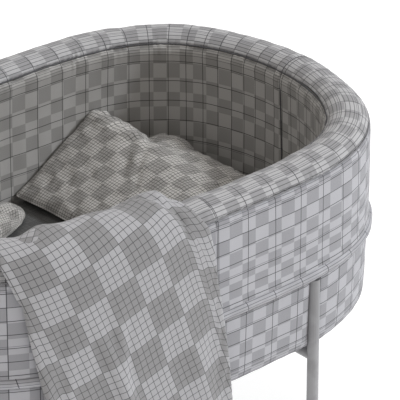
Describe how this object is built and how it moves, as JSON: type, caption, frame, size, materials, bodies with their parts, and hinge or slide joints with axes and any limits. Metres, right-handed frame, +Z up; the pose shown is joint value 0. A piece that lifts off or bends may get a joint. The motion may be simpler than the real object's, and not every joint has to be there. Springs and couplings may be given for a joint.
{
  "type": "baby crib",
  "caption": "Oval padded baby crib: an upholstered basket with a rounded rim and a sewn band, on a steel tube frame, with mattress, pillows and draped blanket.",
  "frame": {"origin": "on the floor, under the middle of the oval basket", "axes": "+X along the basket's length, +Y across it to the rear wall (the blanket hangs over the front wall at -Y), +Z up"},
  "size_m": [1.301, 0.8838, 0.806],
  "materials": {
    "outer_fabric": "woven tonal grey check with fine dark pinstripes",
    "inner_fabric": "the same check fabric, inside",
    "bottom_fabric": "plain dark woven lining",
    "piping": "dark covered cord",
    "sheet_fabric": "dark grey cotton sheet",
    "pillow_fabric": "fine grey gingham cotton",
    "blanket_fabric": "light grey windowpane check cotton",
    "powder_coated_tube": "satin grey powder coat",
    "zinc_steel": "bright zinc plate",
    "rubber": "matt black rubber",
    "plywood": "birch plywood"
  },
  "bodies": {
    "crib": {"band_sleeve": "outer_fabric", "base_board": "plywood", "bottom_cover": "bottom_fabric", "cross_tube_left": "powder_coated_tube", "cross_tube_right": "powder_coated_tube", "foot_front_left": "rubber", "foot_front_right": "rubber", "foot_rear_left": "rubber", "foot_rear_right": "rubber", "frame_bolt_front_left": "zinc_steel", "frame_bolt_front_right": "zinc_steel", "frame_bolt_rear_left": "zinc_steel", "frame_bolt_rear_right": "zinc_steel", "inner_liner": "inner_fabric", "leg_front_left": "powder_coated_tube", "leg_front_right": "powder_coated_tube", "leg_rear_left": "powder_coated_tube", "leg_rear_right": "powder_coated_tube", "leg_stud_front_left": "zinc_steel", "leg_stud_front_right": "zinc_steel", "leg_stud_rear_left": "zinc_steel", "leg_stud_rear_right": "zinc_steel", "long_tube": "powder_coated_tube", "outer_lower_panel": "outer_fabric", "outer_upper_panel": "outer_fabric", "rim_bolster": "outer_fabric", "rim_piping_inner": "piping", "rim_piping_outer": "piping", "support_pad_front_left": "rubber", "support_pad_front_right": "rubber", "support_pad_rear_left": "rubber", "support_pad_rear_right": "rubber", "support_ring": "powder_coated_tube", "tee_nut_front_left": "zinc_steel", "tee_nut_front_right": "zinc_steel", "tee_nut_rear_left": "zinc_steel", "tee_nut_rear_right": "zinc_steel", "wall_core": "plywood"},
    "mattress": {"mattress": "sheet_fabric"},
    "pillow_large": {"pillow_large": "pillow_fabric"},
    "pillow_small": {"pillow_small": "pillow_fabric"},
    "blanket": {"blanket": "blanket_fabric"}
  },
  "joints": [
    {"name": "mattress_lift", "type": "slide", "parent": "crib", "child": "mattress", "axis": [0, 0, 1], "range_m": [0, 0.45]},
    {"name": "pillow_large_lift", "type": "slide", "parent": "mattress", "child": "pillow_large", "axis": [0, 0, 1], "range_m": [0, 0.35]},
    {"name": "pillow_small_lift", "type": "slide", "parent": "mattress", "child": "pillow_small", "axis": [0, 0, 1], "range_m": [0, 0.35]},
    {"name": "blanket_lift", "type": "slide", "parent": "mattress", "child": "blanket", "axis": [0, 0, 1], "range_m": [0, 0.35]}
  ]
}
